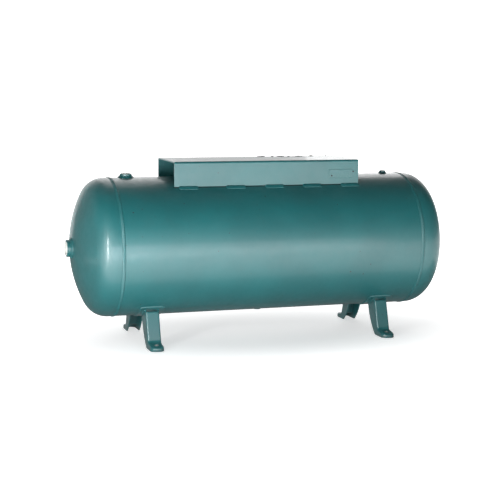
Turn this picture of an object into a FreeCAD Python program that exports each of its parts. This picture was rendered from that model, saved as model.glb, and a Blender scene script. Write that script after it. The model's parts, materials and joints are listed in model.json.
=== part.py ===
import FreeCAD, Part
import math
import os
import Sketcher
from FreeCAD import Placement, Rotation, Vector

# Horizontal air receiver: a welded tank on four pressed legs, with a channel on top.
# Millimetres. The origin is on the ground under the tank's middle, +X runs along the
# tank, -Y is the front and +Z is up. Most pieces are drawn about the tank's own axis.

doc = FreeCAD.newDocument("AirReceiver")
sheet = doc.addObject("Spreadsheet::Sheet", "Sizes")

SIZES = [
    ("tankRadius", 304.8, "outside radius of shell and heads"),
    ("wall", 4.8, "plate of shell and heads"),
    ("seamSpan", 1374, "distance between the two round seams"),
    ("underHeight", 116.2, "shell's lowest line above the ground"),
    ("axisHeight", "=tankRadius + underHeight", "tank axis above the ground"),
    ("skirt", 20, "straight part of a head"),
    ("crownRadius", 548.6, "outside radius of a head's crown"),
    ("knuckleRadius", 98, "outside radius of a head's knuckle"),
    ("weldGap", 3, "root gap of the butt welds"),
    ("beadWidth", 16, "width of a butt weld's bead"),
    ("beadCrown", 2.4, "height of a butt weld's bead"),
    ("weldToe", 0.6, "thickness of a fillet weld at its outer edge"),
    ("longSeamTurn", 52, "long seam, from the crest towards the rear"),
    ("plateLength", 859, "top channel along the tank"),
    ("plateWidth", 289, "top channel across the tank"),
    ("plateRise", 75, "top of the channel above the shell's crest"),
    ("plateWall", 5, "sheet of the top channel"),
    ("plateBend", 9, "outside bend radius of the top channel"),
    ("stitchOne", -366, "centre of the first stitch weld"),
    ("stitchTwo", -151, "centre of the second stitch weld"),
    ("stitchThree", 29, "centre of the third stitch weld"),
    ("stitchFour", 206, "centre of the fourth stitch weld"),
    ("stitchFive", 388, "centre of the fifth stitch weld"),
    ("stitchLength", 88, "length of a stitch weld"),
    ("stitchUp", 6, "weld's leg up the channel"),
    ("stitchTurn", 3.4, "weld's leg down the shell, in degrees round the tank"),
    ("stitchBulge", 30, "radius of a stitch weld's face"),
    ("legStation", 537, "leg's middle from the tank's middle"),
    ("legWidth", 61, "leg along the tank"),
    ("legWall", 5, "sheet of a leg"),
    ("legBend", 8, "outside bend radius of a leg's edges"),
    ("legTopOut", 184, "web's top edge from the tank's middle plane"),
    ("legTopGap", 20, "web's top edge straight below the pad"),
    ("legNotch", 14, "flange's top corner behind the web's top edge"),
    ("legFootOut", 221, "web's lower end, from the middle plane"),
    ("instepHeight", 29, "foot plate above the ground at the web"),
    ("lipHeight", 17, "foot plate above the ground at the toe"),
    ("toeOut", 288, "toe's tip from the middle plane"),
    ("toeRadius", 26, "toe's corners, seen from above"),
    ("heelOut", 194, "where the flange meets the ground"),
    ("flangeOut", 108, "flange's rear edge at the pad"),
    ("flangeSweep", 260, "radius of the flange's rear edge"),
    ("instepRadius", 15, "hollow radius where web turns into foot"),
    ("boltRadius", 7, "bolt hole in a foot"),
    ("boltOut", 254, "bolt hole from the middle plane"),
    ("padWidth", 105, "saddle pad along the tank"),
    ("padWall", 5, "sheet of a saddle pad"),
    ("padLow", 9, "pad's lower edge, degrees from the bottom"),
    ("padHigh", 37, "pad's upper edge, degrees from the bottom"),
    ("padCorner", 14, "corner radius of a pad"),
    ("headPortRadius", 38, "outside radius of a head coupling"),
    ("headPortBore", 28.2, "bore radius of a head coupling"),
    ("headPortReach", 21, "coupling outside the head's crown"),
    ("portInside", 6, "coupling inside the wall"),
    ("headPortWeld", 9, "leg of its fillet weld"),
    ("plugCap", 31, "radius of a plug's cap"),
    ("plugCapHeight", 3, "thickness of a plug's cap"),
    ("plugDepth", 14, "length of a plug's sleeve"),
    ("plugWall", 2.5, "wall of a plug's sleeve"),
    ("plugRecess", 9, "depth of the hollow in a plug's face"),
    ("plugClearance", 0.3, "clearance between sleeve and bore"),
    ("bigPortStation", -612, "large crest port along the tank"),
    ("bigPortRadius", 27, "outside radius of the large crest port"),
    ("bigPortBore", 19.4, "bore radius of the large crest port"),
    ("bigPortReach", 15, "large crest port above the shell"),
    ("bigPortWeld", 9, "leg of its fillet weld"),
    ("bigPlugCap", 22, "radius of its plug's cap"),
    ("smallPortStation", 611, "small crest port along the tank"),
    ("smallPortRadius", 14.3, "outside radius of the small crest port"),
    ("smallPortBore", 9.2, "bore radius of the small crest port"),
    ("smallPortReach", 12, "small crest port above the shell"),
    ("smallPortWeld", 6, "leg of its fillet weld"),
    ("drainReach", 5, "drain port below the shell"),
    ("portChamfer", 1.5, "chamfer on the mouth and rim of a port"),
    ("labelLength", 112, "data plate along the tank"),
    ("labelHeight", 40, "data plate's height"),
    ("labelWall", 1.2, "data plate's sheet"),
    ("labelStation", 344, "data plate's middle along the tank"),
    ("labelDrop", 63, "data plate's middle below the channel's top"),
    ("labelCorner", 4, "data plate's corner radius"),
]

for number, (alias, value, note) in enumerate(SIZES, start=1):
    sheet.set(f"A{number}", alias)
    sheet.set(f"B{number}", str(value))
    sheet.set(f"C{number}", note)
    sheet.setAlias(f"B{number}", alias)
doc.recompute()

nodes = []


def size(alias):
    """The value of one cell of the sheet."""
    return float(getattr(sheet, alias))


def new_body(label, height="Sizes.axisHeight"):
    """An empty body whose own origin is on the tank's axis."""
    body = doc.addObject("PartDesign::Body", label)
    body.Label = label
    body.AllowCompound = True
    body.setExpression("Placement.Base.z", height)
    nodes.append(body)
    return body


def new_sketch(body, label, role):
    """A sketch on one of the body's own origin planes."""
    sketch = body.newObject("Sketcher::SketchObject", label)
    plane = next(item for item in body.Origin.OriginFeatures if item.Role == role)
    sketch.AttachmentSupport = (plane, [""])
    sketch.MapMode = "FlatFace"
    return sketch


def bind(sketch, kind, refs, value, expression):
    """Adds a dimension and ties it to an expression of the sheet's cells."""
    index = sketch.addConstraint(Sketcher.Constraint(kind, *refs, value))
    sketch.setExpression(f"Constraints[{index}]", expression)


def worth(expression):
    """The number that an expression of the sheet's cells has now."""
    return float(FreeCAD.Units.Quantity(str(sheet.evalExpression(expression))).Value)


def outline(sketch, corners):
    """A closed outline. A corner is (x, y) or (x, y, radius): the stretch that starts
    there is then an arc of that radius, to the left of its run, or to the right if the
    radius has a minus. All three are expressions."""
    points = [Vector(worth(c[0]), worth(c[1]), 0) for c in corners]
    first = sketch.GeometryCount
    for number, corner in enumerate(corners):
        start = points[number]
        end = points[(number + 1) % len(points)]
        if len(corner) == 2:
            sketch.addGeometry(Part.LineSegment(start, end), False)
        else:
            sketch.addGeometry(arc_between(start, end, worth(corner[2])), False)
    count = len(points)
    for number, corner in enumerate(corners):
        here = first + number
        after = first + (number + 1) % count
        starts, ends = ends_of(sketch, here, points[number])
        next_start = ends_of(sketch, after, points[(number + 1) % count])[0]
        sketch.addConstraint(Sketcher.Constraint("Coincident", here, ends, after, next_start))
        bind(sketch, "DistanceX", (-1, 1, here, starts), points[number].x, corner[0])
        bind(sketch, "DistanceY", (-1, 1, here, starts), points[number].y, corner[1])
        if len(corner) == 3:
            radius = worth(corner[2])
            bind(sketch, "Radius", (here,), abs(radius), corner[2] if radius > 0 else f"-({corner[2]})")


def arc_between(start, end, radius):
    """The short arc from start to end that bulges left of the run, or right if the
    radius is negative."""
    run = end - start
    side = Vector(-run.y, run.x, 0).normalize() * (1 if radius > 0 else -1)
    half = run.Length / 2
    rise = abs(radius) - math.sqrt(radius * radius - half * half)
    return Part.Arc(start, (start + end) / 2 + side * rise, end)


def ends_of(sketch, index, start):
    """Which of a curve's two ends (1 or 2) is at the start point, and the other."""
    first = sketch.getPoint(index, 1)
    return (1, 2) if first.distanceToPoint(start) < 0.001 else (2, 1)


def circle(sketch, radius, x="0", y="0"):
    """A circle whose radius and centre are expressions."""
    index = sketch.addGeometry(Part.Circle(Vector(worth(x), worth(y), 0), Vector(0, 0, 1), worth(radius)), False)
    bind(sketch, "Radius", (index,), worth(radius), radius)
    bind(sketch, "DistanceX", (-1, 1, index, 3), worth(x), x)
    bind(sketch, "DistanceY", (-1, 1, index, 3), worth(y), y)


def recompute_to(feature):
    doc.recompute()
    return feature


def pad(body, sketch, length, both_ways=True):
    feature = body.newObject("PartDesign::Pad", sketch.Name + "_pad")
    feature.Profile = sketch
    feature.setExpression("Length", length)
    if both_ways:
        feature.SideType = "Symmetric"
    return recompute_to(feature)


def pocket(body, sketch, length, both_ways=True, upward=False):
    """Cuts the sketch's area away, and stops if nothing was cut."""
    before = body.Shape.Volume
    feature = body.newObject("PartDesign::Pocket", sketch.Name + "_pocket")
    feature.Profile = sketch
    feature.setExpression("Length", length)
    feature.Reversed = upward
    if both_ways:
        feature.SideType = "Symmetric"
    recompute_to(feature)
    if body.Shape.Volume >= before:
        raise RuntimeError(f"{feature.Name} cuts nothing")
    return feature


def revolve(body, sketch, axis):
    feature = body.newObject("PartDesign::Revolution", sketch.Name + "_turned")
    feature.Profile = sketch
    feature.ReferenceAxis = (sketch, [axis])
    feature.Angle = 360
    return recompute_to(feature)


def edges_where(shape, test):
    """Names of the edges whose middle point passes the test."""
    names = []
    for number, edge in enumerate(shape.Edges, start=1):
        middle = edge.valueAt((edge.FirstParameter + edge.LastParameter) / 2)
        if test(middle, edge):
            names.append(f"Edge{number}")
    return names


def round_edges(body, test, radius, label):
    base = body.Tip
    names = edges_where(base.Shape, test)
    if not names:
        raise RuntimeError(f"{label}: no edge to round")
    feature = body.newObject("PartDesign::Fillet", label)
    feature.Base = (base, names)
    feature.setExpression("Radius", radius)
    return recompute_to(feature)


# ---- shell and heads

RIM = "Sizes.tankRadius"
BORE = "(Sizes.tankRadius - Sizes.wall)"
SHELL_LENGTH = "(Sizes.seamSpan - Sizes.weldGap)"
SLIT = "(Sizes.weldGap / 2)"
BEAD = "(Sizes.beadWidth / 2)"


def make_shell():
    body = new_body("shell")
    ring = new_sketch(body, "shell_ring", "YZ_Plane")
    circle(ring, RIM)
    circle(ring, BORE)
    pad(body, ring, SHELL_LENGTH)
    slit = new_sketch(body, "seam_slit", "YZ_Plane")
    slit.AttachmentOffset = Placement(Vector(), Rotation(Vector(0, 0, 1), -size("longSeamTurn")))
    slit.setExpression("AttachmentOffset.Rotation.Angle", "-Sizes.longSeamTurn")
    inside = f"{BORE} - Sizes.wall"
    outside = f"{RIM} + Sizes.wall"
    outline(slit, [(f"-{SLIT}", inside), (f"-{SLIT}", outside), (SLIT, outside), (SLIT, inside)])
    pocket(body, slit, f"{SHELL_LENGTH} + Sizes.wall")
    for name, radius, station, up in (
        ("big_hole", "Sizes.bigPortRadius", "Sizes.bigPortStation", True),
        ("small_hole", "Sizes.smallPortRadius", "Sizes.smallPortStation", True),
        ("drain_hole", "Sizes.smallPortRadius", "0", False),
    ):
        hole = new_sketch(body, name, "XY_Plane")
        circle(hole, radius, station)
        pocket(body, hole, f"{RIM} + Sizes.wall", both_ways=False, upward=up)


CENTRES = "(Sizes.crownRadius - Sizes.knuckleRadius)"
KNUCKLE_Y = "(Sizes.tankRadius - Sizes.knuckleRadius)"
BACKSET = f"sqrt({CENTRES}^2 - {KNUCKLE_Y}^2)"
CROWN_X = f"(Sizes.skirt - {BACKSET})"
APEX = f"({CROWN_X} + Sizes.crownRadius)"
HEAD_AT = "((Sizes.seamSpan + Sizes.weldGap) / 2)"
SIDES = (("left", -1), ("right", 1))


def place_end(body, side):
    """Puts a piece drawn for the right end on either end of the tank."""
    if side < 0:
        body.Placement = Placement(Vector(), Rotation(Vector(0, 0, 1), 180))
        body.setExpression("Placement.Base.x", f"-{HEAD_AT}")
    else:
        body.setExpression("Placement.Base.x", HEAD_AT)


def crown_x(radius):
    """How far out the head's outside is at this distance from the axis."""
    return f"({CROWN_X} + sqrt(Sizes.crownRadius^2 - ({radius})^2))"


def make_head(label, side):
    body = new_body(label)
    place_end(body, side)
    profile = new_sketch(body, label + "_profile", "XZ_Plane")
    outer = "Sizes.crownRadius"
    inner = "(Sizes.crownRadius - Sizes.wall)"
    knuckle_in = "(Sizes.knuckleRadius - Sizes.wall)"
    outline(profile, [
        ("0", BORE),
        ("0", RIM),
        ("Sizes.skirt", RIM, "Sizes.knuckleRadius"),
        (f"{CROWN_X} + {outer} * {BACKSET} / {CENTRES}", f"{outer} * {KNUCKLE_Y} / {CENTRES}", outer),
        (APEX, "0"),
        (f"{APEX} - Sizes.wall", "0", f"-{inner}"),
        (f"{CROWN_X} + {inner} * {BACKSET} / {CENTRES}", f"{inner} * {KNUCKLE_Y} / {CENTRES}", f"-{knuckle_in}"),
        ("Sizes.skirt", BORE),
    ])
    revolve(body, profile, "H_Axis")
    hole = new_sketch(body, label + "_hole", "YZ_Plane")
    circle(hole, "Sizes.headPortRadius")
    pocket(body, hole, f"2 * {APEX} + Sizes.wall")


# ---- butt welds


def bead_profile(sketch):
    """A butt weld's section: the root through the wall and the bead on the outside.
    Its middle is the sketch's vertical axis and the wall's outside is at the rim."""
    outline(sketch, [
        (f"-{SLIT}", BORE),
        (f"-{SLIT}", RIM),
        (f"-{BEAD}", RIM, f"({BEAD}^2 + Sizes.beadCrown^2) / (2 * Sizes.beadCrown)"),
        (BEAD, RIM),
        (SLIT, RIM),
        (SLIT, BORE),
    ])


def make_round_weld(label, side):
    body = new_body(label)
    body.setExpression("Placement.Base.x", f"{side} * Sizes.seamSpan / 2")
    profile = new_sketch(body, label + "_profile", "XZ_Plane")
    bead_profile(profile)
    revolve(body, profile, "H_Axis")


def make_long_weld():
    """The root fills the whole slit; the bead stops where the round beads begin."""
    body = new_body("long_seam_weld")
    body.Placement = Placement(Vector(), Rotation(Vector(-1, 0, 0), size("longSeamTurn")))
    body.setExpression("Placement.Rotation.Angle", "Sizes.longSeamTurn")
    root = new_sketch(body, "long_root", "YZ_Plane")
    low = f"sqrt({BORE}^2 - {SLIT}^2)"
    rim = f"sqrt({RIM}^2 - {SLIT}^2)"
    toe = f"sqrt({RIM}^2 - {BEAD}^2)"
    outline(root, [(f"-{SLIT}", low), (f"-{SLIT}", rim, RIM), (SLIT, rim), (SLIT, low, f"-{BORE}")])
    pad(body, root, SHELL_LENGTH)
    bead = new_sketch(body, "long_bead", "YZ_Plane")
    face = f"({BEAD}^2 + (Sizes.beadCrown + {RIM} - {toe})^2) / (2 * (Sizes.beadCrown + {RIM} - {toe}))"
    outline(bead, [(f"-{BEAD}", toe, face), (BEAD, toe, f"-{RIM}")])
    pad(body, bead, "Sizes.seamSpan - Sizes.beadWidth")


# ---- top channel

HALF = "(Sizes.plateWidth / 2)"
DECK = "(Sizes.tankRadius + Sizes.plateRise)"
CHANNEL_FOOT = f"sqrt(Sizes.tankRadius^2 - ({HALF} - Sizes.plateWall)^2)"
STITCHES = ("stitchOne", "stitchTwo", "stitchThree", "stitchFour", "stitchFive")


def make_top_plate():
    body = new_body("top_plate")
    profile = new_sketch(body, "channel_profile", "YZ_Plane")
    bend, wall = "Sizes.plateBend", "Sizes.plateWall"
    tight = f"-({bend} - {wall})"
    shoulder = f"{DECK} - {bend}"
    ceiling = f"{DECK} - {wall}"
    outline(profile, [
        (f"-{HALF}", CHANNEL_FOOT),
        (f"-{HALF}", shoulder, bend),
        (f"-{HALF} + {bend}", DECK),
        (f"{HALF} - {bend}", DECK, bend),
        (HALF, shoulder),
        (HALF, CHANNEL_FOOT),
        (f"{HALF} - {wall}", CHANNEL_FOOT),
        (f"{HALF} - {wall}", shoulder, tight),
        (f"{HALF} - {bend}", ceiling),
        (f"-{HALF} + {bend}", ceiling, tight),
        (f"-{HALF} + {wall}", shoulder),
        (f"-{HALF} + {wall}", CHANNEL_FOOT),
    ])
    pad(body, profile, "Sizes.plateLength")


def make_stitch_welds(label, side):
    """Short fillet welds from the channel's lower edge down the shell."""
    body = new_body(label)
    if side > 0:
        body.Placement = Placement(Vector(), Rotation(Vector(0, 0, 1), 180))
    inner = f"({HALF} - Sizes.plateWall)"
    edge_turn = f"asin({HALF} / Sizes.tankRadius)"
    toe_y = f"(Sizes.tankRadius * sin({edge_turn} + Sizes.stitchTurn * 1 deg))"
    toe_z = f"(Sizes.tankRadius * cos({edge_turn} + Sizes.stitchTurn * 1 deg))"
    for stitch in STITCHES:
        section = new_sketch(body, f"{label}_{stitch}", "YZ_Plane")
        station = f"Sizes.{stitch}" if side < 0 else f"-Sizes.{stitch}"
        section.setExpression("AttachmentOffset.Base.z", station)
        outline(section, [
            (f"-{inner}", CHANNEL_FOOT),
            (f"-{HALF}", CHANNEL_FOOT),
            (f"-{HALF}", f"{CHANNEL_FOOT} + Sizes.stitchUp", "-Sizes.stitchBulge"),
            (f"-{toe_y}", toe_z, f"{RIM}"),
        ])
        pad(body, section, "Sizes.stitchLength")


# ---- legs and saddle pads

PAD_FACE = "(Sizes.tankRadius + Sizes.padWall)"
INSTEP = "-(Sizes.axisHeight - Sizes.instepHeight)"
LIP = "-(Sizes.axisHeight - Sizes.lipHeight)"
LEG_HALF = "(Sizes.legWidth / 2)"
CORNERS = (("front_left", -1, -1), ("front_right", -1, 1), ("rear_left", 1, -1), ("rear_right", 1, 1))


def place_corner(body, front_rear, left_right):
    """Puts a piece drawn for the rear side at one of the four corners."""
    if front_rear < 0:
        body.Placement = Placement(Vector(), Rotation(Vector(0, 0, 1), 180))
    body.setExpression("Placement.Base.x", f"{left_right} * Sizes.legStation")


def make_pad(label, front_rear, left_right):
    body = new_body(label)
    place_corner(body, front_rear, left_right)
    section = new_sketch(body, label + "_section", "YZ_Plane")
    low, high = "(Sizes.padLow * 1 deg)", "(Sizes.padHigh * 1 deg)"
    outline(section, [
        (f"{RIM} * sin({low})", f"-{RIM} * cos({low})", f"-{RIM}"),
        (f"{RIM} * sin({high})", f"-{RIM} * cos({high})"),
        (f"{PAD_FACE} * sin({high})", f"-{PAD_FACE} * cos({high})", PAD_FACE),
        (f"{PAD_FACE} * sin({low})", f"-{PAD_FACE} * cos({low})"),
    ])
    pad(body, section, "Sizes.padWidth")
    width = size("padWidth") / 2
    round_edges(body, lambda p, e: abs(abs(p.x) - width) < 0.01 and e.Length < 2 * size("padWall"),
                "Sizes.padCorner", label + "_corners")


def make_leg(label, front_rear, left_right):
    """A pressed leg: web outside, flanges towards the tank, and a rimmed foot."""
    body = new_body(label)
    place_corner(body, front_rear, left_right)
    block = new_sketch(body, label + "_block", "YZ_Plane")
    shoulder = "(Sizes.legTopOut - Sizes.legNotch)"
    outline(block, [
        ("Sizes.flangeOut", f"-sqrt({PAD_FACE}^2 - Sizes.flangeOut^2)", f"-{PAD_FACE}"),
        (shoulder, f"-sqrt({PAD_FACE}^2 - {shoulder}^2)"),
        ("Sizes.legTopOut", f"-sqrt({PAD_FACE}^2 - Sizes.legTopOut^2) - Sizes.legTopGap"),
        ("Sizes.legFootOut", INSTEP),
        ("Sizes.toeOut", LIP),
        ("Sizes.toeOut", "-Sizes.axisHeight"),
        ("Sizes.heelOut", "-Sizes.axisHeight", "Sizes.flangeSweep"),
    ])
    pad(body, block, "Sizes.legWidth")
    half, toe, lip = size("legWidth") / 2, size("toeOut"), worth(LIP)
    round_edges(body, lambda p, e: abs(abs(p.x) - half) < 0.01 and abs(p.y - toe) < 0.01,
                "Sizes.toeRadius", label + "_toe")
    round_edges(body, lambda p, e: abs(p.x) < 0.01 and abs(p.y - size("legFootOut")) < 0.01,
                "Sizes.instepRadius", label + "_instep")
    out = size("legTopOut")
    round_edges(body, lambda p, e: p.y > out and p.z > lip - 0.01 and
                (abs(abs(p.x) - half) < 0.01 or p.y > toe - size("toeRadius")),
                "Sizes.legBend", label + "_bends")
    solid = body.Tip
    opened = []
    for number, face in enumerate(solid.Shape.Faces, start=1):
        middle = face.CenterOfMass
        flat_side = abs(abs(middle.x) - half) < 0.5
        if not flat_side and abs(middle.x) < 0.01 and (middle.y < out - 0.5 or middle.z < -size("axisHeight") + 0.01):
            opened.append(f"Face{number}")
    skin = body.newObject("PartDesign::Thickness", label + "_sheet")
    skin.Base = (solid, opened)
    skin.Reversed = True
    skin.setExpression("Value", "Sizes.legWall")
    recompute_to(skin)
    bolt = new_sketch(body, label + "_bolt", "XY_Plane")
    circle(bolt, "Sizes.boltRadius", "0", "Sizes.boltOut")
    pocket(body, bolt, "Sizes.axisHeight", both_ways=False)


# ---- ports, their welds and plugs


def turned_port(body, axis, low, high, radius, bore):
    """A coupling turned about the sketch's axis, with chamfered outer end."""
    sketch = new_sketch(body, body.Label + "_section", "XZ_Plane")
    cut = "Sizes.portChamfer"
    corners = [(low, bore), (low, radius), (f"{high} - {cut}", radius), (high, f"{radius} - {cut}"),
               (high, f"{bore} + {cut}"), (f"{high} - {cut}", bore)]
    if axis == "V_Axis":
        corners = [(across, along) for along, across in corners]
    outline(sketch, corners)
    revolve(body, sketch, axis)


def make_head_port(label, side):
    body = new_body(label)
    place_end(body, side)
    turned_port(body, "H_Axis", f"{APEX} - Sizes.wall - Sizes.portInside", f"{APEX} + Sizes.headPortReach",
                "Sizes.headPortRadius", "Sizes.headPortBore")


def make_head_port_weld(label, side):
    body = new_body(label)
    place_end(body, side)
    section = new_sketch(body, label + "_section", "XZ_Plane")
    inner = "Sizes.headPortRadius"
    outer = "(Sizes.headPortRadius + Sizes.headPortWeld)"
    outline(section, [
        (crown_x(inner), inner),
        (f"{crown_x(inner)} + Sizes.headPortWeld", inner),
        (f"{crown_x(outer)} + Sizes.weldToe", outer),
        (crown_x(outer), outer, "Sizes.crownRadius"),
    ])
    revolve(body, section, "H_Axis")


def make_crest_port(label, station, radius, bore, reach, under=False):
    body = new_body(label)
    if under:
        body.Placement = Placement(Vector(), Rotation(Vector(1, 0, 0), 180))
    body.setExpression("Placement.Base.x", station)
    turned_port(body, "V_Axis", f"{BORE} - Sizes.portInside", f"{RIM} + {reach}", radius, bore)


def make_crest_weld(label, station, radius, leg, under=False):
    """A fillet weld round a port, cut to the shell's curve."""
    body = new_body(label)
    if under:
        body.Placement = Placement(Vector(), Rotation(Vector(1, 0, 0), 180))
    body.setExpression("Placement.Base.x", station)
    section = new_sketch(body, label + "_section", "XZ_Plane")
    outer = f"({radius} + {leg})"
    low = f"{RIM} - {leg}"
    outline(section, [(radius, low), (radius, f"{RIM} + {leg}"), (outer, f"{RIM} + Sizes.weldToe"), (outer, low)])
    revolve(body, section, "V_Axis")
    barrel = new_sketch(body, label + "_barrel", "YZ_Plane")
    circle(barrel, RIM)
    pocket(body, barrel, f"4 * {outer}")


def make_plug(body, axis, mouth, bore, cap):
    """A thread protector: a cap on the port's mouth and a hollow sleeve in its bore."""
    section = new_sketch(body, body.Label + "_section", "XZ_Plane")
    sleeve = f"({bore} - Sizes.plugClearance)"
    hollow = f"({sleeve} - Sizes.plugWall)"
    corners = [
        (f"{mouth} - Sizes.plugDepth", "0"),
        (f"{mouth} - Sizes.plugDepth", sleeve),
        (mouth, sleeve),
        (mouth, cap),
        (f"{mouth} + Sizes.plugCapHeight", cap),
        (f"{mouth} + Sizes.plugCapHeight", hollow),
        (f"{mouth} + Sizes.plugCapHeight - Sizes.plugRecess", hollow),
        (f"{mouth} + Sizes.plugCapHeight - Sizes.plugRecess", "0"),
    ]
    if axis == "V_Axis":
        corners = [(across, along) for along, across in corners]
    outline(section, corners)
    revolve(body, section, axis)


def make_head_plug(label, side):
    body = new_body(label)
    place_end(body, side)
    make_plug(body, "H_Axis", f"{APEX} + Sizes.headPortReach", "Sizes.headPortBore", "Sizes.plugCap")


def make_top_plug(label):
    body = new_body(label)
    body.setExpression("Placement.Base.x", "Sizes.bigPortStation")
    make_plug(body, "V_Axis", f"{RIM} + Sizes.bigPortReach", "Sizes.bigPortBore", "Sizes.bigPlugCap")


# ---- data plate


def make_data_plate():
    body = new_body("data_plate")
    body.setExpression("Placement.Base.x", "Sizes.labelStation")
    body.setExpression("Placement.Base.y", f"-{HALF}")
    body.setExpression("Placement.Base.z", f"Sizes.axisHeight + {DECK} - Sizes.labelDrop")
    sheet_outline = new_sketch(body, "label_outline", "XZ_Plane")
    along, up = "(Sizes.labelLength / 2)", "(Sizes.labelHeight / 2)"
    outline(sheet_outline, [(f"-{along}", f"-{up}"), (f"-{along}", up), (along, up), (along, f"-{up}")])
    pad(body, sheet_outline, "Sizes.labelWall", both_ways=False)
    round_edges(body, lambda p, e: e.Length < size("labelWall") + 0.01, "Sizes.labelCorner", "label_corners")


make_shell()
for end, way in SIDES:
    make_head(f"{end}_head", way)
    make_round_weld(f"{end}_seam_weld", way)
    make_head_port(f"{end}_head_port", way)
    make_head_port_weld(f"{end}_head_port_weld", way)
    make_head_plug(f"{end}_head_plug", way)
make_long_weld()
make_top_plate()
make_stitch_welds("front_stitch_welds", -1)
make_stitch_welds("rear_stitch_welds", 1)
for corner, across, along in CORNERS:
    make_pad(f"{corner}_pad", across, along)
    make_leg(f"{corner}_leg", across, along)
make_crest_port("top_left_port", "Sizes.bigPortStation", "Sizes.bigPortRadius", "Sizes.bigPortBore",
                "Sizes.bigPortReach")
make_crest_weld("top_left_port_weld", "Sizes.bigPortStation", "Sizes.bigPortRadius", "Sizes.bigPortWeld")
make_top_plug("top_left_plug")
make_crest_port("top_right_port", "Sizes.smallPortStation", "Sizes.smallPortRadius", "Sizes.smallPortBore",
                "Sizes.smallPortReach")
make_crest_weld("top_right_port_weld", "Sizes.smallPortStation", "Sizes.smallPortRadius", "Sizes.smallPortWeld")
make_crest_port("drain_port", "0", "Sizes.smallPortRadius", "Sizes.smallPortBore", "Sizes.drainReach", under=True)
make_crest_weld("drain_port_weld", "0", "Sizes.smallPortRadius", "Sizes.smallPortWeld", under=True)
make_data_plate()

doc.recompute()
for item in doc.Objects:
    if "Invalid" in item.State or "Error" in item.State:
        raise RuntimeError(f"{item.Label} failed: {item.State}")
os.makedirs("parts", exist_ok=True)
for body in nodes:
    shape = body.Shape
    if shape.isNull() or not shape.isValid():
        raise RuntimeError(f"{body.Label} has a bad shape")
    shape.exportStep(f"parts/{body.Label}.step")
    print(f"{body.Label}: {len(shape.Solids)} solid(s), {shape.Volume / 1000:.1f} cm3")
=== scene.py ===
import bpy, bmesh, json, math, random
from mathutils import Matrix, Vector


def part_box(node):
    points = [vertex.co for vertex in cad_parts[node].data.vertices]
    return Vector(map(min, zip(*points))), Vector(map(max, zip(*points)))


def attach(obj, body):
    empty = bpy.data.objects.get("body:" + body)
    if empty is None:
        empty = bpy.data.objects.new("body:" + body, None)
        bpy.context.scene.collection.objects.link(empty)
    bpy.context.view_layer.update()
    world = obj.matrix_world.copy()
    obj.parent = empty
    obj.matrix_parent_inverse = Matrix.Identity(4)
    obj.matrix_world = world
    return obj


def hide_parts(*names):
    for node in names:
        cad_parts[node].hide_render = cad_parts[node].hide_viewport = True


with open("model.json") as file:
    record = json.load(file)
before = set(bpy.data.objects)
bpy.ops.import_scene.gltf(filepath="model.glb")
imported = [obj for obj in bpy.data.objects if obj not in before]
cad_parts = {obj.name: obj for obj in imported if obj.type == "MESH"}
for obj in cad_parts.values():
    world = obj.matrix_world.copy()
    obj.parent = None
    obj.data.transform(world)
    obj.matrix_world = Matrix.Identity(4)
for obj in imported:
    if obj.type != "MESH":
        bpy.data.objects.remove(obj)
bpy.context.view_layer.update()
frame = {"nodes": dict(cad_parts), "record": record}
nodes = frame["nodes"]
scene = bpy.context.scene
print("frame loaded:", len(nodes), "nodes")


def span(name):
    low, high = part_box(name)
    return Vector(low), Vector(high)


def middle(name):
    low, high = span(name)
    return (low + high) / 2


# the tank's own measures, read from the frame
axisZ = middle("left_seam_weld").z
tankR = -min(v.co.y for v in nodes["shell"].data.vertices)
seamX = middle("right_seam_weld").x
plateLow, plateHigh = span("top_plate")

# camera, light and floor
view = {
    "place": (-1.8471, -5.5474, 1.1845),
    "turn": 18.31, "down": 7.79, "roll": 0.49,
    "lens": 93.05, "sensor": 36, "shiftX": -0.0102, "shiftY": -0.0007, "clip": 200,
}


def makeCamera(v):
    cam = bpy.data.objects.new("camera", bpy.data.cameras.new("camera"))
    bpy.context.collection.objects.link(cam)
    cam.data.lens = v["lens"]
    cam.data.sensor_width = v["sensor"]
    cam.data.shift_x = v["shiftX"]
    cam.data.shift_y = v["shiftY"]
    cam.data.clip_end = v["clip"]
    turn = Matrix.Rotation(math.radians(-v["turn"]), 4, "Z")
    tip = Matrix.Rotation(math.radians(90 - v["down"]), 4, "X")
    roll = Matrix.Rotation(math.radians(v["roll"]), 4, "Z")
    cam.matrix_world = Matrix.Translation(v["place"]) @ (turn @ tip) @ roll
    scene.camera = cam


def addNode(tree, kind, inputs=None, **settings):
    made = tree.nodes.new(kind)
    for name, value in settings.items():
        setattr(made, name, value)
    for name, value in (inputs or {}).items():
        if isinstance(value, bpy.types.NodeSocket):
            tree.links.new(value, made.inputs[name])
        else:
            made.inputs[name].default_value = value
    return made


def doMath(tree, operation, a, b=0.0, clamp=False):
    made = addNode(tree, "ShaderNodeMath", {0: a, 1: b}, operation=operation, use_clamp=clamp)
    return made.outputs[0]


def addUp(tree, a, b, clamp=False):
    return doMath(tree, "ADD", a, b, clamp)


def times(tree, a, b):
    return doMath(tree, "MULTIPLY", a, b)


def hypot(tree, a, b):
    return doMath(tree, "SQRT", addUp(tree, times(tree, a, a), times(tree, b, b)))


def ramp(tree, value, low, high, start=0.0, end=1.0):
    made = addNode(tree, "ShaderNodeMapRange",
                   {"Value": value, "From Min": low, "From Max": high, "To Min": start, "To Max": end},
                   interpolation_type="SMOOTHSTEP")
    return made.outputs["Result"]


def mixColour(tree, factor, a, b):
    made = tree.nodes.new("ShaderNodeMix")
    made.data_type = "RGBA"
    for index, value in ((0, factor), (6, a), (7, b)):
        if isinstance(value, bpy.types.NodeSocket):
            tree.links.new(value, made.inputs[index])
        else:
            made.inputs[index].default_value = value if index == 0 else (*value, 1)
    return made.outputs[2]


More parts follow.
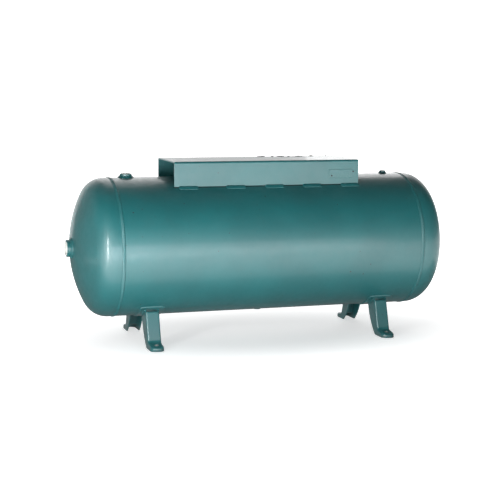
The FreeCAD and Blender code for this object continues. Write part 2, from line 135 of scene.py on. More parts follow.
room = {
    "back": 1.40, "dark": 0.045,        # brightness of the backdrop and of the dark studio round it
    "towards": (0.28, 0.945, 0.17), "edge": 0.743, "full": 0.927,
}
# the floor's glow rises from near to far: a painted soft shadow round the tank
ground = {
    "half": 40, "tone": (0.72, 0.72, 0.72), "rough": 0.9, "spec": 0.1,
    "stretch": (0.55, 1, 0), "near": 0.20, "far": 1.10, "glow": (0.50, 1.55),
}
lamps = [
    {"name": "leftPanel", "place": (-0.95, -2.1, 0.37), "size": (1.6, 0.70), "power": 19.5,
     "aim": (-0.95, 0, 0.42), "tint": (0.94, 0.98, 1.05)},
    {"name": "rightPanel", "place": (0.55, -2.1, 0.37), "size": (1.4, 0.70), "power": 7.8,
     "aim": (0.55, 0, 0.42)},
    {"name": "leftStrip", "place": (-2.1, -1.73, 0.56), "size": (0.13, 1.1), "power": 30,
     "aim": (-0.75, 0, 0.45)},
    {"name": "leftFill", "place": (-2.9, -2.4, 0.45), "size": (1.6, 0.85), "power": 10,
     "aim": (-0.75, 0, 0.42)},
    {"name": "backBoxRight", "place": (1.6, 2.4, 1.7), "size": (0.9, 1.6), "power": 8,
     "aim": (0.6, 0, 0.7)},
    {"name": "backBox", "place": (-0.2, 2.3, 2.3), "size": (1.0, 2.7), "power": 9,
     "aim": (-0.5, 0, 0.7)},
]
cards = {                               # dimmers that only the gloss and the bounced light see
    "darkCard": {"corners": [(-3.6, 0.2, 0.01), (-1.4, 2.0, 0.01), (-1.4, 2.0, 2.4), (-3.6, 0.2, 2.4)],
                 "tone": 0.05, "glow": 0.24},
    # painted shadow: a dark card on the floor under and behind the tank, seen by the tank's gloss and
    # bounced light as the floor's shade
    "underCard": {"corners": [(-2.2, -0.5, 0.0005), (1.6, -0.5, 0.0005),
                              (1.6, 4.0, 0.0005), (-2.2, 4.0, 0.0005)],
                  "tone": 0.22, "glow": 0.14},
}
backdrop = {"radius": 36, "height": 45, "sides": 96, "glow": 1.05}     # the white seen all round


def newStageMesh(name, corners, faces, glow=0.0):
    # an object of the stage, whose plain material shines white
    mesh = bpy.data.meshes.new(name)
    mesh.from_pydata(corners, [], faces)
    made = bpy.data.objects.new(name, mesh)
    bpy.context.collection.objects.link(made)
    mat = bpy.data.materials.new(name)
    mat.use_nodes = True
    shader = mat.node_tree.nodes["Principled BSDF"]
    shader.inputs["Emission Color"].default_value = (1, 1, 1, 1)
    shader.inputs["Emission Strength"].default_value = glow
    mesh.materials.append(mat)
    return made, mat.node_tree, shader


def makeBackdrop(b):
    corners = []
    for k in range(b["sides"]):
        turn = 2 * math.pi * k / b["sides"]
        x, y = b["radius"] * math.cos(turn), b["radius"] * math.sin(turn)
        corners += [(x, y, 0), (x, y, b["height"])]
    count = len(corners)
    faces = [(k, k + 1, (k + 3) % count, (k + 2) % count) for k in range(0, count, 2)]
    wall = newStageMesh("backdrop", corners, faces, b["glow"])[0]
    wall.visible_diffuse = False
    wall.visible_glossy = False
    wall.visible_transmission = False
    wall.visible_shadow = False


def makeCard(name, c):
    card, tree, shader = newStageMesh(name, c["corners"], [(0, 1, 2, 3)], c["glow"])
    shader.inputs["Base Color"].default_value = (c["tone"], c["tone"], c["tone"], 1)
    shader.inputs["Roughness"].default_value = 1.0
    behind = tree.nodes.new("ShaderNodeNewGeometry").outputs["Backfacing"]
    clear = tree.nodes.new("ShaderNodeBsdfTransparent").outputs[0]
    oneSided = addNode(tree, "ShaderNodeMixShader", {0: behind, 1: shader.outputs[0], 2: clear})
    tree.links.new(oneSided.outputs[0], tree.nodes["Material Output"].inputs["Surface"])
    card.visible_camera = False
    card.visible_shadow = False


def makeRoom(r):
    # a pale backdrop in a dark studio
    world = bpy.data.worlds.new("room")
    scene.world = world
    world.use_nodes = True
    tree = world.node_tree
    place = tree.nodes.new("ShaderNodeTexCoord").outputs["Generated"]
    facing = addNode(tree, "ShaderNodeVectorMath", {0: place, 1: Vector(r["towards"]).normalized()},
                     operation="DOT_PRODUCT")
    glow = ramp(tree, facing.outputs["Value"], r["edge"], r["full"], r["dark"], r["back"])
    back = tree.nodes["Background"]
    back.inputs["Color"].default_value = (1, 1, 1, 1)
    tree.links.new(glow, back.inputs["Strength"])


def makeFloor(g):
    # a pale floor that glows as on a light table, its glow dimmed near the tank as a painted soft shadow
    half = g["half"]
    corners = [(-half, -half, 0), (half, -half, 0), (half, half, 0), (-half, half, 0)]
    floor, tree, shader = newStageMesh("floor", corners, [(0, 1, 2, 3)])
    shader.inputs["Base Color"].default_value = (*g["tone"], 1)
    shader.inputs["Roughness"].default_value = g["rough"]
    shader.inputs["Specular IOR Level"].default_value = g["spec"]
    place = tree.nodes.new("ShaderNodeTexCoord").outputs["Object"]
    flat = addNode(tree, "ShaderNodeMapping", {"Vector": place, "Scale": g["stretch"]})
    away = addNode(tree, "ShaderNodeVectorMath", {0: flat.outputs[0]}, operation="LENGTH")
    # painted shadow: the glow is lowest near the tank and rises to full away from it
    glow = ramp(tree, away.outputs["Value"], g["near"], g["far"], *g["glow"])
    tree.links.new(glow, shader.inputs["Emission Strength"])


def makeLamp(l):
    lamp = bpy.data.lights.new(l["name"], "AREA")
    lamp.shape = "RECTANGLE"
    lamp.size, lamp.size_y = l["size"]
    lamp.energy = l["power"]
    lamp.color = l.get("tint", (1, 1, 1))
    made = bpy.data.objects.new(l["name"], lamp)
    bpy.context.collection.objects.link(made)
    away = Vector(l["place"]) - Vector(l["aim"])
    made.matrix_world = Matrix.Translation(l["place"]) @ away.to_track_quat("Z", "Y").to_matrix().to_4x4()
    made.visible_camera = False


scene.view_settings.view_transform = "Standard"
makeCamera(view)
makeRoom(room)
makeFloor(ground)
makeBackdrop(backdrop)
for name, c in cards.items():
    makeCard(name, c)
for lamp in lamps:
    makeLamp(lamp)
print("room, lamps and camera ready")

# materials


def newMaterial(name):
    mat = bpy.data.materials.new(name)
    mat.use_nodes = True
    tree = mat.node_tree
    place = tree.nodes.new("ShaderNodeTexCoord").outputs["Object"]
    return mat, tree, tree.nodes["Principled BSDF"], place


def noise(tree, place, scale, detail=2.0, rough=0.5):
    return addNode(tree, "ShaderNodeTexNoise",
                   {"Vector": place, "Scale": scale, "Detail": detail, "Roughness": rough}).outputs["Fac"]


def setBump(tree, shader, layers):
    normal = None
    for height, depth in layers:
        bump = addNode(tree, "ShaderNodeBump", {"Height": height, "Distance": depth, "Strength": 1.0})
        if normal is not None:
            tree.links.new(normal, bump.inputs["Normal"])
        normal = bump.outputs["Normal"]
    tree.links.new(normal, shader.inputs["Normal"])


enamel = {
    "colour": (0.0048, 0.124, 0.129), "deep": (0.0038, 0.108, 0.113), "cloud": 4.0,
    "rough": 0.50, "roughSpread": 0.05, "roughScale": 38, "spec": 1.0, "coat": 0.40, "coatRough": 0.16,
    "peel": 260, "peelDepth": 0.00012, "sag": 5.0, "sagDepth": 0.0006,
    "dust": 0.05, "dustScale": 16, "dustTone": (0.42, 0.43, 0.41), "dustRough": 1.6,
    "chips": 0.77, "chipEdge": 0.015, "chipScale": 70, "chipTone": (0.035, 0.033, 0.03),
    "chipRough": 0.3, "chipDepth": 0.0002,
    "nick": (0.343, -0.2846, 0.3118),   # one larger nick on the shell's front
    "nickR": (0.0045, 0.0055), "nickRagged": 0.003,
}


def makeEnamel(name, e, extra=None):
    mat, tree, shader, place = newMaterial(name)
    colour = mixColour(tree, ramp(tree, noise(tree, place, e["cloud"], 3), 0.35, 0.65),
                       e["colour"], e["deep"])
    rough = ramp(tree, noise(tree, place, e["roughScale"], 4, 0.6), 0.3, 0.7,
                 e["rough"] - e["roughSpread"], e["rough"] + e["roughSpread"])
    # dust lies on what faces up
    up = addNode(tree, "ShaderNodeSeparateXYZ",
                 {0: tree.nodes.new("ShaderNodeNewGeometry").outputs["Normal"]}).outputs["Z"]
    dust = times(tree, ramp(tree, up, 0.55, 1.0, 0.0, e["dust"]),
                 ramp(tree, noise(tree, place, e["dustScale"], 5, 0.65), 0.35, 0.7, 0.2, 1.0))
    colour = mixColour(tree, dust, colour, e["dustTone"])
    rough = addUp(tree, rough, times(tree, dust, e["dustRough"]))
    if extra:
        colour, rough = extra(tree, place, colour, rough)
    # small chips, and the nick with its ragged rim
    chip = ramp(tree, noise(tree, place, e["chipScale"], 2, 0.4), e["chips"], e["chips"] + e["chipEdge"])
    away = addNode(tree, "ShaderNodeVectorMath", {0: place, 1: e["nick"]}, operation="DISTANCE")
    away = addUp(tree, away.outputs["Value"], times(tree, noise(tree, place, 400, 2), e["nickRagged"]))
    chip = doMath(tree, "MAXIMUM", chip, ramp(tree, away, *e["nickR"], 1.0, 0.0))
    colour = mixColour(tree, chip, colour, e["chipTone"])
    rough = addUp(tree, rough, times(tree, chip, e["chipRough"]), clamp=True)
    tree.links.new(colour, shader.inputs["Base Color"])
    tree.links.new(rough, shader.inputs["Roughness"])
    shader.inputs["Specular IOR Level"].default_value = e["spec"]
    shader.inputs["Coat Weight"].default_value = e["coat"]
    shader.inputs["Coat Roughness"].default_value = e["coatRough"]
    peel = noise(tree, place, e["peel"], 1.5, 0.4)
    sag = noise(tree, place, e["sag"], 1.0)
    kept = doMath(tree, "SUBTRACT", 1.0, chip)
    setBump(tree, shader, [(sag, e["sagDepth"]), (peel, e["peelDepth"]), (kept, e["chipDepth"])])
    return mat


# a painted contact shadow along the flanges' feet on the shell
contactShadow = {"reach": 0.0016, "fade": 0.0042, "strength": 0.92, "wobble": 0.0012, "rough": 0.4,
           "tone": (0.006, 0.010, 0.010)}


def paintedContactShadow(tree, place, colour, rough):
    # painted shadow: a dark line where the channel's flanges stand on the shell
    axes = addNode(tree, "ShaderNodeSeparateXYZ", {0: place}).outputs
    footZ = axisZ + math.sqrt(tankR ** 2 - plateHigh.y ** 2)
    gapY = doMath(tree, "SUBTRACT", doMath(tree, "ABSOLUTE", axes["Y"]), plateHigh.y)
    gapZ = doMath(tree, "SUBTRACT", axes["Z"], footZ)
    away = addUp(tree, hypot(tree, gapY, gapZ), times(tree, noise(tree, place, 90, 3), contactShadow["wobble"]))
    line = ramp(tree, away, contactShadow["reach"], contactShadow["fade"], contactShadow["strength"], 0.0)
    along = doMath(tree, "ABSOLUTE", axes["X"])
    inside = ramp(tree, along, plateHigh.x - 0.002, plateHigh.x + 0.006, 1.0, 0.0)
    mask = times(tree, line, inside)
    colour = mixColour(tree, mask, colour, contactShadow["tone"])
    return colour, addUp(tree, rough, times(tree, mask, contactShadow["rough"]), clamp=True)


plateMarks = {"from": (0.00, 0.105), "endX": 0.36, "fade": 0.05, "fadeY": 0.025, "stretch": (9, 26, 26),
              "rough": 0.35, "tone": (0.012, 0.02, 0.02)}


def plateScuffsAndShadow(tree, place, colour, rough):
    # painted shadow along the flanges' feet, as on the shell
    colour, rough = paintedContactShadow(tree, place, colour, rough)
    # dark rubbed marks along the deck's rear bend
    startX, startY = plateMarks["from"]
    endX, fade = plateMarks["endX"], plateMarks["fade"]
    axes = addNode(tree, "ShaderNodeSeparateXYZ", {0: place}).outputs
    alongX = times(tree, ramp(tree, axes["X"], startX, startX + fade),
                   ramp(tree, axes["X"], endX - fade, endX, 1.0, 0.0))
    alongY = ramp(tree, axes["Y"], startY, startY + plateMarks["fadeY"])
    stretched = addNode(tree, "ShaderNodeMapping", {"Vector": place, "Scale": plateMarks["stretch"]})
    patch = ramp(tree, noise(tree, stretched.outputs[0], 1.0, 4, 0.6), 0.50, 0.58)
    onDeck = ramp(tree, axes["Z"], plateHigh.z - 0.006, plateHigh.z - 0.001)
    mask = times(tree, times(tree, times(tree, alongX, alongY), patch), onDeck)
    colour = mixColour(tree, mask, colour, plateMarks["tone"])
    return colour, addUp(tree, rough, times(tree, mask, plateMarks["rough"]), clamp=True)


bolts = next(m for m in frame["record"]["mounts"] if m["name"] == "foot_bolts")
footWear = {
    "reach": 0.022, "dirt": (0.13, 0.12, 0.10), "dirtStrength": 0.6, "dirtRough": 0.4,
    "boltX": bolts["dims"]["spacing_x_mm"] / 2000, "boltY": bolts["dims"]["spacing_y_mm"] / 2000,
    "ring": 0.0125, "ringFade": 0.002, "ringWobble": 0.004, "bare": (0.30, 0.29, 0.27),
}


def footScuffs(tree, place, colour, rough):
    # dusty, rubbed rims at the floor and a worn ring round each bolt hole
    w = footWear
    axes = addNode(tree, "ShaderNodeSeparateXYZ", {0: place}).outputs
    low = ramp(tree, axes["Z"], 0.0, w["reach"], 1.0, 0.0)
    patch = ramp(tree, noise(tree, place, 60, 5, 0.7), 0.42, 0.62)
    dirt = times(tree, times(tree, low, patch), w["dirtStrength"])
    colour = mixColour(tree, dirt, colour, w["dirt"])
    awayX = doMath(tree, "SUBTRACT", doMath(tree, "ABSOLUTE", axes["X"]), w["boltX"])
    awayY = doMath(tree, "SUBTRACT", doMath(tree, "ABSOLUTE", axes["Y"]), w["boltY"])
    away = addUp(tree, hypot(tree, awayX, awayY), times(tree, noise(tree, place, 120, 2), w["ringWobble"]))
    ring = ramp(tree, away, w["ring"] - w["ringFade"], w["ring"], 0.8, 0.0)
    colour = mixColour(tree, ring, colour, w["bare"])
    return colour, addUp(tree, rough, times(tree, dirt, w["dirtRough"]), clamp=True)


plastic = {"cloud": 45, "roughScale": 160, "rough": (0.42, 0.6), "soft": 0.12, "softR": 0.002,
           "grain": 900, "grainDepth": 0.00005}
bareSteel = {"bright": (0.34, 0.34, 0.33), "stain": (0.16, 0.12, 0.09), "stainScale": 150,
             "rough": (0.32, 0.6), "metal": 0.9, "grain": 700, "grainDepth": 0.00004}
crust = {"dark": (0.012, 0.012, 0.011), "light": (0.035, 0.030, 0.024), "cloud": 240,
         "rough": (0.75, 0.95), "spec": 0.2, "grain": 500, "grainDepth": 0.0002}


def makePlastic(name, p, colour, stain):
    mat, tree, shader, place = newMaterial(name)
    cloud = ramp(tree, noise(tree, place, p["cloud"], 4), 0.4, 0.7)
    rough = ramp(tree, noise(tree, place, p["roughScale"], 3), 0.3, 0.7, *p["rough"])
    tree.links.new(mixColour(tree, cloud, colour, stain), shader.inputs["Base Color"])
    tree.links.new(rough, shader.inputs["Roughness"])
    shader.inputs["Subsurface Weight"].default_value = p["soft"]
    shader.inputs["Subsurface Radius"].default_value = (p["softR"], p["softR"], p["softR"])
    setBump(tree, shader, [(noise(tree, place, p["grain"], 2), p["grainDepth"])])
    return mat


def makeThreadSteel(name, p):
    mat, tree, shader, place = newMaterial(name)
    stain = ramp(tree, noise(tree, place, p["stainScale"], 5, 0.7), 0.45, 0.65)
    tree.links.new(mixColour(tree, stain, p["bright"], p["stain"]), shader.inputs["Base Color"])
    tree.links.new(ramp(tree, stain, 0, 1, *p["rough"]), shader.inputs["Roughness"])
    shader.inputs["Metallic"].default_value = p["metal"]
    setBump(tree, shader, [(noise(tree, place, p["grain"], 3), p["grainDepth"])])
    return mat


def makeDarkScale(name, p):
    mat, tree, shader, place = newMaterial(name)
    tint = ramp(tree, noise(tree, place, p["cloud"], 4, 0.6), 0.35, 0.7)
    tree.links.new(mixColour(tree, tint, p["dark"], p["light"]), shader.inputs["Base Color"])
    tree.links.new(ramp(tree, tint, 0, 1, *p["rough"]), shader.inputs["Roughness"])
    shader.inputs["Specular IOR Level"].default_value = p["spec"]
    setBump(tree, shader, [(noise(tree, place, p["grain"], 3), p["grainDepth"])])
    return mat


weldPaint = dict(enamel, sagDepth=0.0002, peelDepth=0.00008, dust=0.03, chips=0.78)
labelPaint = dict(enamel, rough=0.46, sagDepth=0.0002, peel=140, peelDepth=0.0005)
paints = {
    # the shell's and the channel's enamel carry a painted contact shadow under the flanges
    "green_paint": makeEnamel("tankEnamel", enamel, paintedContactShadow),
    "plate_paint": makeEnamel("channelEnamel", dict(enamel, sag=7.0, sagDepth=0.0009), plateScuffsAndShadow),
    "leg_paint": makeEnamel("legEnamel", dict(enamel, chips=0.76, rough=0.42, coat=0.9), footScuffs),
    "painted_weld": makeEnamel("weldEnamel", weldPaint),
    "painted_fitting": makeEnamel("fittingEnamel", dict(enamel, sagDepth=0.0002)),
    "painted_label": makeEnamel("labelEnamel", labelPaint),
    "white_plastic": makePlastic("whitePlastic", plastic, (0.80, 0.81, 0.79), (0.70, 0.69, 0.63)),
    "grey_plastic": makePlastic("greyPlastic", plastic, (0.46, 0.52, 0.49), (0.36, 0.40, 0.38)),
}
threadSteel = makeThreadSteel("threadSteel", bareSteel)
darkScale = makeDarkScale("darkScale", crust)
for row in frame["record"]["subparts"]:
    piece = nodes[row["node"]]
    for slot in piece.material_slots:
        slot.material = paints[row["material_slot"]]
print("materials ready:", len(paints) + 2)

# making meshes


def camelCase(name):
    first, *rest = name.split("_")
    return first + "".join(word.capitalize() for word in rest)


def addPiece(name, verts, faces, slot, replaced=(), mat=None, smooth=True):
    mesh = bpy.data.meshes.new(name)
    mesh.from_pydata([tuple(v) for v in verts], [], faces)
    shape = bmesh.new()
    shape.from_mesh(mesh)
    bmesh.ops.remove_doubles(shape, verts=shape.verts, dist=1e-6)
    bmesh.ops.recalc_face_normals(shape, faces=shape.faces)
    shape.to_mesh(mesh)
    shape.free()
    mesh.polygons.foreach_set("use_smooth", [smooth] * len(mesh.polygons))
    mesh.materials.append(mat or paints[slot])
    piece = bpy.data.objects.new(name, mesh)
    bpy.context.collection.objects.link(piece)
    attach(piece, "root")
    if replaced:
        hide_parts(*replaced)
    return piece


class Shape:
    # verts and faces of one piece, gathered from several closed strips
    def __init__(self):
        self.verts = []
        self.faces = []

    def tube(self, rings, closed):
        base, count = len(self.verts), len(rings[0])
        for ring in rings:
            self.verts.extend(ring)
        total = len(rings) if closed else len(rings) - 1
        for i in range(total):
            a, b = base + i * count, base + ((i + 1) % len(rings)) * count
            for k in range(count):
                n = (k + 1) % count
                self.faces.append((a + k, a + n, b + n, b + k))
        if not closed:
            self.faces.append(tuple(base + k for k in range(count)))
            self.faces.append(tuple(base + (len(rings) - 1) * count + k for k in range(count)))


def beadRings(stations, bead, closed):
    # each station is the joint's point, the two legs of the weld and its outward direction
    lengths = [0.0]
    for one, two in zip(stations, stations[1:]):
        lengths.append(lengths[-1] + (two[0] - one[0]).length)
    whole = lengths[-1] + ((stations[0][0] - stations[-1][0]).length if closed else 0)
    pitch = whole / max(1, round(whole / bead["pitch"]))
    rings = []
    for along, (point, legA, legB, out) in zip(lengths, stations):
        end = 1.0 if closed else min(1.0, min(along, whole - along) / bead["taper"])
        full = 0.3 + 0.7 * math.sqrt(max(0.0, 1 - (1 - end) ** 2))
        ring = [point - out * bead["root"]]
        for k in range(bead["across"] + 1):
            v = k / bead["across"]
            scallop = abs(math.sin(math.pi * (along / pitch + 0.45 * (2 * v - 1) ** 2)))
            swell = bead["crown"] * math.sin(math.pi * v) ** 0.7 * (1 - bead["depth"] * (1 - scallop))
            ring.append(point + (legA * (1 - v) + legB * v) * full + out * swell * full)
        rings.append(ring)
    return rings


def stepsFor(length, bead):
    return max(8, round(length / bead["pitch"]) * bead["steps"])


# round and long seams
seamBead = {"half": 0.008, "crown": 0.0024, "pitch": 0.0068, "depth": 0.62, "across": 8, "steps": 6,
            "root": 0.0012, "taper": 0.006}


def makeRoundSeam(name, x, bead):
    shape = Shape()
    stations = []
    side = Vector((bead["half"], 0, 0))
    count = stepsFor(2 * math.pi * tankR, bead)
    for i in range(count):
        turn = 2 * math.pi * i / count
        out = Vector((0, math.cos(turn), math.sin(turn)))
        stations.append((Vector((x, 0, axisZ)) + out * tankR, side, -side, out))
    shape.tube(beadRings(stations, bead, True), True)
    return addPiece(name + "Bead", shape.verts, shape.faces, "painted_weld", [name])


def makeLongSeam(bead):
    low, high = span("long_seam_weld")
    centre = (low + high) / 2
    out = Vector((0, centre.y, centre.z - axisZ)).normalized()
    side = Vector((1, 0, 0)).cross(out) * bead["half"]
    length = high.x - low.x
    count = stepsFor(length, bead)
    stations = []
    for i in range(count + 1):
        x = low.x + length * i / count
        stations.append((Vector((x, 0, axisZ)) + out * tankR, side, -side, out))
    shape = Shape()
    shape.tube(beadRings(stations, bead, False), False)
    return addPiece("longSeamBead", shape.verts, shape.faces, "painted_weld", ["long_seam_weld"])


makeRoundSeam("left_seam_weld", -seamX, seamBead)
makeRoundSeam("right_seam_weld", seamX, seamBead)
makeLongSeam(seamBead)
print("seam beads ready")

# stitch welds of the channel
stitchBead = {"up": 0.0062, "down": 0.0175, "crown": 0.0016, "pitch": 0.0065, "depth": 0.5, "across": 8,
              "steps": 5, "root": 0.0010, "taper": 0.007}


def weldRuns(name):
    # where each separate weld of the row starts and ends along the tank
    shape = bmesh.new()
    shape.from_mesh(nodes[name].data)
    bmesh.ops.remove_doubles(shape, verts=shape.verts, dist=1e-6)
    left, runs = set(shape.verts), []
    while left:
        heap = [left.pop()]
        xs = []
        while heap:
            one = heap.pop()
            xs.append(one.co.x)
            near = {edge.other_vert(one) for edge in one.link_edges} & left
            left -= near
            heap += near
        runs.append((min(xs), max(xs)))
    shape.free()
    return sorted(runs)


def makeStitches(name, side, bead):
    edgeY = plateHigh.y
    turn = math.asin(edgeY / tankR)
    corner = Vector((0, side * edgeY, axisZ + math.sqrt(tankR ** 2 - edgeY ** 2)))
    down = Vector((0, side * math.cos(turn), -math.sin(turn)))
    up = Vector((0, 0, 1))
    out = (Vector((0, side * math.sin(turn), math.cos(turn))) + Vector((0, side * 0.6, 0))).normalized()
    shape = Shape()
    for start, end in weldRuns(name):
        count = stepsFor(end - start, bead)
        stations = []
        for i in range(count + 1):
            point = corner + Vector((start + (end - start) * i / count, 0, 0))
            sink = Vector((0, side * math.sin(turn), math.cos(turn))) * (bead["down"] ** 2 / (2 * tankR))
            stations.append((point, down * bead["down"] - sink, up * bead["up"], out))
        shape.tube(beadRings(stations, bead, False), False)
    return addPiece(camelCase(name.removesuffix("_welds")) + "Beads", shape.verts, shape.faces,
                    "painted_weld", [name])


makeStitches("front_stitch_welds", -1, stitchBead)
makeStitches("rear_stitch_welds", 1, stitchBead)
print("stitch welds ready")

# welds round the ports
portBead = {"crown": 0.0008, "pitch": 0.0055, "depth": 0.6, "across": 7, "steps": 5, "root": 0.0010}
finePortBead = dict(portBead, pitch=0.0045)


def makePortWeld(port, weld, axis, bead):
    # axis is the port's own outward direction; the surface it stands on may be round
    low, high = span(port)
    weldLow, weldHigh = span(weld)
    outward = Vector(axis)
    centre = (low + high) / 2
    crest = abs(outward.z) > 0.5
    one = Vector((1, 0, 0)) if crest else Vector((0, 1, 0))
    two = outward.cross(one)
    radius = (high - low).dot(Vector((abs(one.x), abs(one.y), 0))) / 2
    reach = (weldHigh - weldLow).dot(Vector((abs(one.x), abs(one.y), 0))) / 2 - radius
    count = stepsFor(2 * math.pi * radius, bead)
    stations = []
    for i in range(count):
        turn = 2 * math.pi * i / count
        ray = one * math.cos(turn) + two * math.sin(turn)
        if crest:
            across = radius * ray.y
            level = axisZ + outward.z * math.sqrt(tankR ** 2 - across ** 2)
            foot = Vector((centre.x, centre.y, level)) + ray * radius
            slope = Vector((ray.x, ray.y, -outward.z * across * ray.y / tankR)).normalized()
        else:
            level = weldLow.x if outward.x > 0 else weldHigh.x
            foot = Vector((level, centre.y, centre.z)) + ray * radius
            slope = ray
        out = (slope + outward).normalized()
        stations.append((foot, slope * reach, outward * reach, out))
    shape = Shape()
    shape.tube(beadRings(stations, bead, True), True)
    return addPiece(camelCase(weld) + "Bead", shape.verts, shape.faces, "painted_weld", [weld])


makePortWeld("left_head_port", "left_head_port_weld", (-1, 0, 0), portBead)
makePortWeld("right_head_port", "right_head_port_weld", (1, 0, 0), portBead)
makePortWeld("top_left_port", "top_left_port_weld", (0, 0, 1), portBead)
makePortWeld("top_right_port", "top_right_port_weld", (0, 0, 1), finePortBead)
makePortWeld("drain_port", "drain_port_weld", (0, 0, -1), finePortBead)
print("port welds ready")

# welds of pads and legs
padBead = {"leg": 0.0048, "crown": 0.0006, "pitch": 0.005, "depth": 0.6, "across": 5, "steps": 4,
           "root": 0.0008, "taper": 0.008, "corner": 0.014}
legBead = dict(padBead, leg=0.0050)


def onTank(x, arc, side):
    # a point on the underside, its outward direction and the way up: arc runs from the lowest line
    turn = arc / tankR
    out = Vector((0, side * math.sin(turn), -math.cos(turn)))
    along = Vector((0, side * math.cos(turn), math.sin(turn)))
    return Vector((x, 0, axisZ)) + out * tankR, out, along


def fromAxis(point):
    return Vector((0, point.y, point.z - axisZ)).length


def turnsOf(points):
    # the lowest and highest angle of some points, from the lowest line
    turns = [math.atan2(abs(p.y), axisZ - p.z) for p in points]
    return min(turns), max(turns)


def makePadWeld(corner, side, bead):
    low, high = span(corner + "_pad")
    first, last = turnsOf([v.co for v in nodes[corner + "_pad"].data.vertices])
    centreX, halfX = (low.x + high.x) / 2, (high.x - low.x) / 2
    centreS, halfS = (first + last) / 2 * tankR, (last - first) / 2 * tankR
    r = bead["corner"]
    outline = []
    for quarter, (sx, ss) in enumerate(((1, 1), (-1, 1), (-1, -1), (1, -1))):
        for k in range(13):
            turn = math.pi / 2 * (quarter + k / 12)
            nx, ns = math.cos(turn), math.sin(turn)
            outline.append((sx * (halfX - r) + r * nx, ss * (halfS - r) + r * ns, nx, ns))
    dense = []
    for one, two in zip(outline, outline[1:] + outline[:1]):
        parts = max(1, round(math.dist(one[:2], two[:2]) / (bead["pitch"] / bead["steps"])))
        dense += [tuple(a + (b - a) * k / parts for a, b in zip(one, two)) for k in range(parts)]
    stations = []
    for x, s, nx, ns in dense:
        point, out, along = onTank(centreX + x, centreS + s, side)
        away = (Vector((nx, 0, 0)) + along * ns).normalized()
        stations.append((point, away * bead["leg"], out * bead["leg"], (away + out).normalized()))
    shape = Shape()
    shape.tube(beadRings(stations, bead, True), True)
    return shape


def makeLegWeld(corner, side, bead, shape):
    # along both flanges, where they meet the pad
    low, high = span(corner + "_leg")
    padR = tankR + padThickness
    tops = [v.co for v in nodes[corner + "_leg"].data.vertices
            if abs(fromAxis(v.co) - padR) < 0.0004]
    first, last = turnsOf(tops)
    for x, face in ((low.x, -1), (high.x, 1)):
        count = stepsFor((last - first) * padR, bead)
        stations = []
        for i in range(count + 1):
            turn = first + (last - first) * i / count
            out = Vector((0, side * math.sin(turn), -math.cos(turn)))
            away = Vector((face, 0, 0))
            point = Vector((x, 0, axisZ)) + out * padR
            stations.append((point, away * bead["leg"], out * bead["leg"], (away + out).normalized()))
        shape.tube(beadRings(stations, bead, False), False)


padThickness = max(fromAxis(v.co) for v in nodes["rear_left_pad"].data.vertices) - tankR
for corner, side in (("front_left", -1), ("front_right", -1), ("rear_left", 1), ("rear_right", 1)):
    welds = makePadWeld(corner, side, padBead)
    makeLegWeld(corner, side, legBead, welds)
    addPiece(camelCase(corner) + "LegWelds", welds.verts, welds.faces, "painted_weld")
print("leg and pad welds ready")

# pipe threads in the open ports
pipeThread = {"pitch": 0.0018, "depth": 0.0009, "turn": 40, "from": 0.0020, "length": 0.0150,
              "clear": 0.004, "fade": 12, "footWidth": 0.42, "sink": 0.0002}


def makeThread(port, axis, thread):
    low, high = span(port)
    centreX = middle(port).x
    outward = Vector((0, 0, axis))
    mouth = high.z if axis > 0 else low.z
    bore = min(Vector((v.co.x - centreX, v.co.y)).length for v in nodes[port].data.vertices)
    length = min(thread["length"], high.z - low.z - thread["clear"])
    half = thread["pitch"] * thread["footWidth"]
    steps = round(length / thread["pitch"] * thread["turn"])
    rings = []
    for i in range(steps + 1):
        turn = 2 * math.pi * i / thread["turn"]
        ray = Vector((math.cos(turn), math.sin(turn), 0))
        fade = min(1.0, i / thread["fade"], (steps - i) / thread["fade"])
        foot = Vector((centreX, 0, mouth)) - outward * (thread["from"] + length * i / steps)
        root = foot + ray * (bore + thread["sink"])
        crest = foot + ray * (bore - thread["depth"] * fade - 0.00002)
        rings.append([root + outward * half, root - outward * half, crest])
    shape = Shape()
    shape.tube(rings, False)
    addPiece(camelCase(port) + "Thread", shape.verts, shape.faces, "painted_fitting",
             mat=threadSteel, smooth=False)


makeThread("top_right_port", 1, pipeThread)
makeThread("drain_port", -1, pipeThread)
print("threads ready")

# label: raised rim and two dark rivets
label = {"rim": 0.0016, "rimHeight": 0.0004, "bevel": 0.0003, "sink": 0.0002, "corner": 0.004,
         "rivet": 0.0034, "rivetHeight": 0.0018, "rivets": ((0.0606, 0.0090), (-0.0435, -0.0085))}


def makeRim(l, low, high):
    # the rim's section as inset and rise, carried round the plate's rounded corners
    section = ((0.0, -l["sink"]), (l["bevel"], l["rimHeight"]), (l["rim"], l["rimHeight"]),
               (l["rim"] + l["bevel"], -l["sink"]))
    corners = ((low.x, low.z, 1, 1), (high.x, low.z, -1, 1),
               (high.x, high.z, -1, -1), (low.x, high.z, 1, -1))
    loops = []
    for x, z, dx, dz in corners:
        centreX, centreZ = x + dx * l["corner"], z + dz * l["corner"]
        first = math.atan2(-dz, -dx)
        for k in range(7):
            turn = first + (k / 6 - 0.5) * math.pi / 2
            nx, nz = math.cos(turn), math.sin(turn)
            loops.append([Vector((centreX + nx * (l["corner"] - inset), low.y - rise,
                                  centreZ + nz * (l["corner"] - inset))) for inset, rise in section])
    shape = Shape()
    shape.tube(loops, True)
    addPiece("labelRim", shape.verts, shape.faces, "painted_label")


